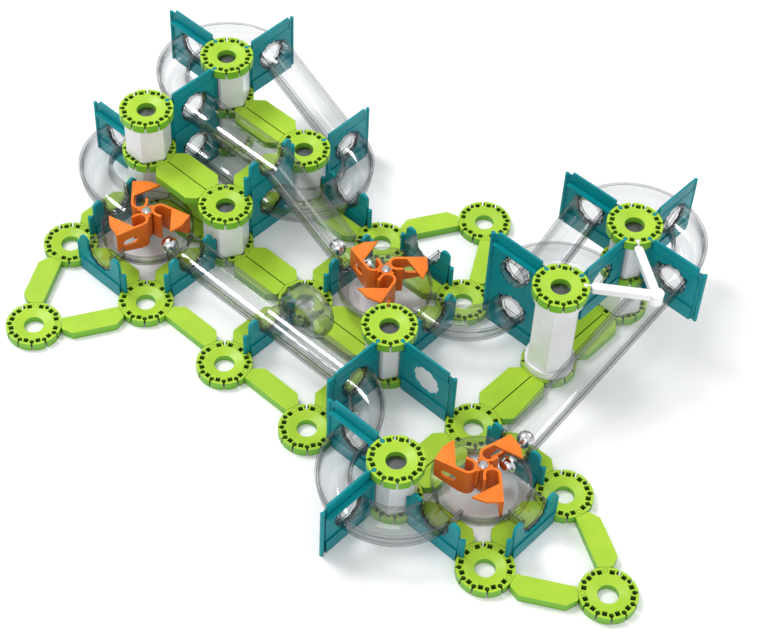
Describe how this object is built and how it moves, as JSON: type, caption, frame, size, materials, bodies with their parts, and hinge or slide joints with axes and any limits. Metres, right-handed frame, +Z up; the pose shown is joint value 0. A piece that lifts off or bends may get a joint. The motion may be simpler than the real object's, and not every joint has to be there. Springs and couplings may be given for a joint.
{
  "type": "marble run",
  "caption": "Marble run with slotted hubs, bars, teal port walls, white columns, clear channels, a vertical loop and free-spinning orange rotors that pass steel marbles on.",
  "frame": {"origin": "axis of the centre hub's bore where it meets the table", "axes": "+Z up, +X along the row of five hubs, +Y towards the tall towers, both along the square lattice of hubs"},
  "size_m": [0.5541, 0.3941, 0.0894],
  "materials": {
    "hub_green": "satin moulded lime green plastic",
    "bar_green": "satin moulded lime green plastic",
    "column_white": "glossy off-white moulded plastic",
    "disc_grey": "dull grey metal disc",
    "wall_teal": "satin moulded teal plastic",
    "clear_plastic": "clear polished plastic",
    "pin_steel": "turned steel pin",
    "rotor_orange": "satin orange moulded plastic",
    "marble_steel": "polished bearing steel"
  },
  "bodies": {
    "frame": {"hubs_ground": "hub_green", "hubs_tower_base": "hub_green", "hubs_middle": "hub_green", "hubs_top": "hub_green", "columns_short": "column_white", "column_tall": "column_white", "core_discs": "disc_grey", "bars_triangles": "bar_green", "bars_edge": "bar_green", "bars_beside_walls": "bar_green", "bars_double_ground": "bar_green", "bars_upper": "bar_green", "walls_lower": "wall_teal", "walls_upper": "wall_teal", "wall_tall": "wall_teal", "low_walls_ground": "wall_teal", "low_wall_upper": "wall_teal", "curve_t1_a": "clear_plastic", "curve_t1_b": "clear_plastic", "curve_t2_a": "clear_plastic", "curve_t2_b": "clear_plastic", "curve_t3_a": "clear_plastic", "curve_t3_b": "clear_plastic", "curve_a5": "clear_plastic", "curve_t8_a": "clear_plastic", "curve_t8_b": "clear_plastic", "curve_a8": "clear_plastic", "curve_t6_a": "clear_plastic", "curve_t6_b": "clear_plastic", "curve_t7": "clear_plastic", "run_t1_t3": "clear_plastic", "run_upper": "clear_plastic", "run_lower": "clear_plastic", "run_drop": "clear_plastic", "run_front": "clear_plastic", "run_t6_t7": "clear_plastic", "run_long": "clear_plastic", "clear_loop": "clear_plastic", "corner_brace": "clear_plastic", "tray_1": "clear_plastic", "tray_2": "clear_plastic", "tray_3": "clear_plastic", "rotor_pins": "pin_steel"},
    "rotor_1": {"rotor_1": "rotor_orange", "marble_rotor_1": "marble_steel"},
    "rotor_2": {"rotor_2": "rotor_orange", "marble_rotor_2": "marble_steel"},
    "rotor_3": {"rotor_3": "rotor_orange", "marble_rotor_3": "marble_steel"},
    "marble_drop": {"marble_drop": "marble_steel"},
    "marble_long": {"marble_long": "marble_steel"}
  },
  "joints": [
    {"name": "rotor_1_spin", "type": "hinge", "parent": "frame", "child": "rotor_1", "pos_m": [-0.12, -0.04, 0.03], "axis": [0, 0, 1], "continuous": true},
    {"name": "rotor_2_spin", "type": "hinge", "parent": "frame", "child": "rotor_2", "pos_m": [0.04, 0.04, 0.03], "axis": [0, 0, 1], "continuous": true},
    {"name": "rotor_3_spin", "type": "hinge", "parent": "frame", "child": "rotor_3", "pos_m": [0.2, -0.04, 0.03], "axis": [0, 0, 1], "continuous": true},
    {"name": "marble_drop_roll", "type": "slide", "parent": "frame", "child": "marble_drop", "axis": [-0.8664, 0, 0.4994], "range_m": [0, 0.055]},
    {"name": "marble_long_roll", "type": "slide", "parent": "frame", "child": "marble_long", "axis": [0, 0.966, 0.2586], "range_m": [0, 0.12]}
  ]
}
